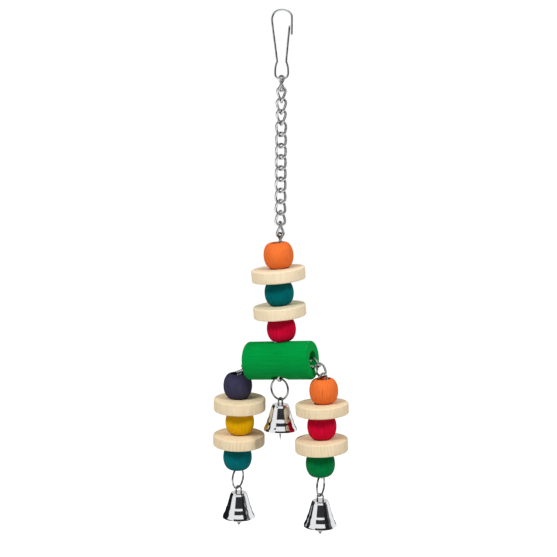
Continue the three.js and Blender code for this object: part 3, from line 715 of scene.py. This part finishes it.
def bellMesh(name):
    # deep drawn in steps: a flat cap, a tapered side, a low ridge, and a flare that ends in a curled lip
    outside = [(0, 0), (2.6, 0), (5.0, 0), (bell["capFlat"], 0)]
    outside += arcPoints(bell["capEdge"], bell["capRadius"], 88, 14, 4) + bell["shoulder"]
    start, end = outside[-1], bell["sideFoot"]
    outside += [(start[0] + (end[0] - start[0]) * i / 6, start[1] + (end[1] - start[1]) * i / 6) for i in range(1, 7)]
    outside += bell["flare"] + arcPoints(bell["lip"], bell["lipRadius"], 0, -90, 4)
    wall = bell["wall"]
    inside = [(10.9, -17.6)] + [(r - wall, z + wall * 0.35) for r, z in reversed(bell["flare"])]
    inside += [(end[0] - wall, -9.3), (6.2 - wall, -1.8), (5.2, -wall - 0.35), (4.6, -wall), (0, -wall)]
    outline = [(r * bell["spread"], z * bell["stretch"]) for r, z in outside + inside]
    mesh = spinOutline(outline, bell["round"], name)
    side = (hanger["width"] - hanger["wire"]) / 2
    return drillMesh(mesh, [(hanger["hole"], 4, Matrix.Translation((x * mm, 0, 0))) for x in (-side, side)])


def hangerMesh(name):
    top, bar = hanger["rise"] - hanger["wire"] / 2, hanger["depth"] - hanger["wire"] / 2
    points = loopPoints(hanger["width"] - hanger["wire"], top + bar, hanger["corner"])
    mesh = wireMesh(name, points, hanger["wire"], closed=True)
    mesh.transform(Matrix.Translation((0, 0, top * mm)))
    return mesh


def clapperMesh(name, twist, show):
    # A strip of sheet: rolled round the hanger's bar, then straight down, widening to a pointed blade
    tip = bell["height"] + show - hanger["depth"] + hanger["wire"] / 2
    point = clapper["width"] / 2 / math.tan(math.radians(clapper["tipAngle"] / 2))
    roll, half, strap = (clapper["eyeBore"] + clapper["sheet"]) / 2, clapper["width"] / 2, clapper["strap"] / 2
    stations = []
    for i in range(clapper["rollSteps"] + 1):
        # from the free end of the roll, over the top of the bar, to the front where the strap leaves it
        angle = math.radians(clapper["rollFrom"] + clapper["rollTurn"] * i / clapper["rollSteps"])
        stations.append((roll * math.cos(angle), roll * math.sin(angle), strap))
    stations += [(-0.28, -roll - 0.35, strap), (-0.02, -roll - 1.0, strap), (0, -roll - 2.0, strap)]
    stations += [(0, z, strap) for z in (-4, -5.5, -7, -8.5)]
    corner, neck = -tip + point, clapper["neck"]
    stations += [(0, corner + neck, strap), (0, corner + neck * 0.66, strap + (half - strap) * 0.36),
                 (0, corner + neck * 0.33, strap + (half - strap) * 0.72), (0, corner + 0.5, half - 0.25),
                 (0, corner, half), (0, corner - 0.5, half - 0.3), (0, -tip + 0.5, 0.42), (0, -tip + 0.1, 0.12)]
    bm = bmesh.new()
    bmesh.ops.create_grid(bm, x_segments=4, y_segments=len(stations) - 1, size=1)
    for vert in bm.verts:
        row = round((vert.co.y + 1) / 2 * (len(stations) - 1))
        y, z, w = stations[row]
        vert.co = Vector((vert.co.x * w, y, z)) * mm
    bmesh.ops.solidify(bm, geom=bm.faces[:], thickness=clapper["sheet"] * mm)
    bmesh.ops.recalc_face_normals(bm, faces=bm.faces)
    blade = [vert.co.y for vert in bm.verts if vert.co.z < -clapper["bladeTop"] * mm]
    bmesh.ops.translate(bm, verts=bm.verts, vec=(0, -(min(blade) + max(blade)) / 2, 0))
    for vert in bm.verts:
        # the twist lies in the strap, above the blade
        share = max(0.0, min(1.0, (-vert.co.z / mm - clapper["twistDrop"]) / clapper["twistLength"]))
        vert.co.rotate(Quaternion(zAxis, math.radians(twist * share)))
    return meshFrom(bm, name)


def makeBell(side, hang):
    ringTurn = Quaternion(zAxis, math.radians(hang["yaw"]))
    bellTurn = Quaternion(zAxis, math.radians(hang["yaw"] + 90))
    middle = boxMiddle(f"{side}_ring")
    cap = boxMiddle(f"{side}_bell")
    cap.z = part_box(f"{side}_bell")[1][2] / mm
    cap += Vector(hang["slip"])
    placePiece(f"{side}.ring", ringMesh(side), placeAt(middle, ringTurn), shadedRingPlate, f"{side}_ring")
    placePiece(f"{side}.bell", bellMesh(side), placeAt(cap, bellTurn), chrome, f"{side}_bell", 30)
    placePiece(f"{side}.bellHanger", hangerMesh(side), placeAt(cap, bellTurn), shadedRingPlate, f"{side}_bell_hanger")
    eye = cap - Vector((0, 0, hanger["depth"] - hanger["wire"] / 2))
    placePiece(f"{side}.clapper", clapperMesh(side, hang["twist"], hang["show"]), placeAt(eye, bellTurn), clapperPlate,
               f"{side}_clapper", 50)


for side, hang in bells.items():
    makeBell(side, hang)
print("bells hung")


# the camera's place is mm, and all other lengths here are metres. Each card has where it starts and ends round the
# set, its low and high edge, and its colour, and each lamp has its place, width and power
studio = {"floorDrop": 0.78, "floorHalf": 6, "floorLift": 0.76, "ambient": 0.25, "aim": (0, 0, -0.19),
          "lens": 75.62, "sensor": 36, "camera": (0.69, -822.9, -95.5), "pitch": 6.27, "yaw": 0.16, "roll": 0.24,
          "cardRadius": 1.6,
          "cards": {"cardFront": (-36, 40, -0.42, 0.42, "363638"), "cardRight": (40, 72, -0.75, 2.9, "262628"),
                    "cardRightSide": (72, 92, -0.75, 2.9, "5E5E60"), "cardLeftHigh": (-86, -38, 0.95, 2.9, "2A2A2C"),
                    "cardLeftLow": (-86, -38, -0.76, -0.36, "2A2A2C"), "cardLeft": (-170, -86, -0.75, 2.9, "1E1E20"),
                    "cardEdge": (144, 170, -0.75, 2.2, "606062"), "cardBack": (170, 200, -0.3, 0.6, "DADADC")},
          "lamps": {"keySoftbox": ((-0.95, -1.0, 0.95), 0.4, 20.5), "fillSoftbox": ((1.0, -0.95, 0.85), 0.4, 16),
                    "topSoftbox": ((0.0, 0.1, 1.1), 1.0, 2)}}


def seenShare(tree):
    # 1 where something is looked at or mirrored, 0 for the light that falls on the toy
    rays = addNode(tree, "ShaderNodeLightPath")
    share = rays.outputs["Is Camera Ray"]
    for kind in ("Is Glossy Ray", "Is Transmission Ray"):
        share = addNode(tree, "ShaderNodeMath", {0: share, 1: rays.outputs[kind]}, operation="MAXIMUM").outputs["Value"]
    return share


def makeStage():
    material, tree = newMaterial("matWhitePaintedFloor")
    speckle = addNode(tree, "ShaderNodeTexNoise", {"Vector": addNode(tree, "ShaderNodeTexCoord").outputs["Object"],
                                                   "Scale": 60.0, "Detail": 4.0})
    tone = setRamp(addNode(tree, "ShaderNodeValToRGB", {"Fac": speckle.outputs["Fac"]}),
                   [(0.3, hexColour("F4F4F4")), (0.7, hexColour("F8F8F8"))])
    paint = addNode(tree, "ShaderNodeBsdfPrincipled", {"Base Color": tone.outputs["Color"], "Roughness": 0.9,
                                                       "Specular IOR Level": 0.1})
    # lifts the floor to white where it is looked at or mirrored, and leaves its shadow and its own light alone
    lift = addNode(tree, "ShaderNodeEmission", {"Color": (1, 1, 1, 1), "Strength": studio["floorLift"]})
    none = addNode(tree, "ShaderNodeEmission", {"Color": (0, 0, 0, 1), "Strength": 0.0})
    glow = addNode(tree, "ShaderNodeMixShader", {0: seenShare(tree), 1: none.outputs[0], 2: lift.outputs[0]})
    closeMaterial(tree, addNode(tree, "ShaderNodeAddShader", {0: paint.outputs[0], 1: glow.outputs[0]}))
    bm = bmesh.new()
    bmesh.ops.create_grid(bm, x_segments=8, y_segments=8, size=studio["floorHalf"])
    floor = bpy.data.objects.new("floor", meshFrom(bm, "floor"))
    floor.data.transform(Matrix.Translation((0, 0, -studio["floorDrop"])))
    floor.data.materials.append(material)
    collection.objects.link(floor)

    # curved grey papers round the set, seen only in the metal, give the chrome its dark and light panels
    for name, (start, end, low, high, colour) in studio["cards"].items():
        material, tree = newMaterial(f"{name}Paper")
        closeMaterial(tree, addNode(tree, "ShaderNodeEmission", {"Color": hexColour(colour), "Strength": 1.0}))
        bm = bmesh.new()
        foot = bm.verts.new((0, -studio["cardRadius"], low))
        head = bm.verts.new((0, -studio["cardRadius"], high))
        edge = bm.edges.new((foot, head))
        bmesh.ops.rotate(bm, verts=[foot, head], cent=(0, 0, 0), matrix=Matrix.Rotation(math.radians(start), 3, "Z"))
        bmesh.ops.spin(bm, geom=[foot, head, edge], axis=(0, 0, 1), cent=(0, 0, 0), angle=math.radians(end - start),
                       steps=16)
        card = bpy.data.objects.new(name, meshFrom(bm, name))
        card.data.materials.append(material)
        collection.objects.link(card)
        card.visible_camera = False
        card.visible_diffuse = False
        card.visible_shadow = False


def makeLight():
    world = bpy.data.worlds.new("studio")
    bpy.context.scene.world = world
    world.use_nodes = True
    tree = world.node_tree
    tree.nodes.clear()
    soft = addNode(tree, "ShaderNodeBackground", {"Color": (1, 1, 1, 1), "Strength": studio["ambient"]})
    white = addNode(tree, "ShaderNodeBackground", {"Color": (1, 1, 1, 1), "Strength": 1.0})
    mixed = addNode(tree, "ShaderNodeMixShader", {0: seenShare(tree), 1: soft.outputs[0], 2: white.outputs[0]})
    addNode(tree, "ShaderNodeOutputWorld", {"Surface": mixed.outputs[0]})

    for name, (spot, size, power) in studio["lamps"].items():
        data = bpy.data.lights.new(name, "AREA")
        data.shape, data.size, data.energy = "SQUARE", size, power
        lamp = bpy.data.objects.new(name, data)
        lamp.location = spot
        lamp.visible_glossy = False    # the metal mirrors the white room and the cards instead
        aim = Vector(studio["aim"]) - Vector(spot)
        lamp.rotation_euler = aim.to_track_quat("-Z", "Y").to_euler()
        collection.objects.link(lamp)


def makeCamera():
    data = bpy.data.cameras.new("viewCamera")
    data.lens, data.sensor_width, data.sensor_fit = studio["lens"], studio["sensor"], "HORIZONTAL"
    camera = bpy.data.objects.new("viewCamera", data)
    camera.location = Vector(studio["camera"]) * mm
    yaw = Matrix.Rotation(math.radians(studio["yaw"]), 3, "Z")
    pitch = Matrix.Rotation(math.radians(90 - studio["pitch"]), 3, "X")
    roll = Matrix.Rotation(math.radians(studio["roll"]), 3, "Z")
    camera.rotation_euler = (yaw @ pitch @ roll).to_euler()
    collection.objects.link(camera)
    bpy.context.scene.camera = camera


makeStage()
makeLight()
makeCamera()
bpy.context.scene.view_settings.view_transform = "Standard"
print("stage set")
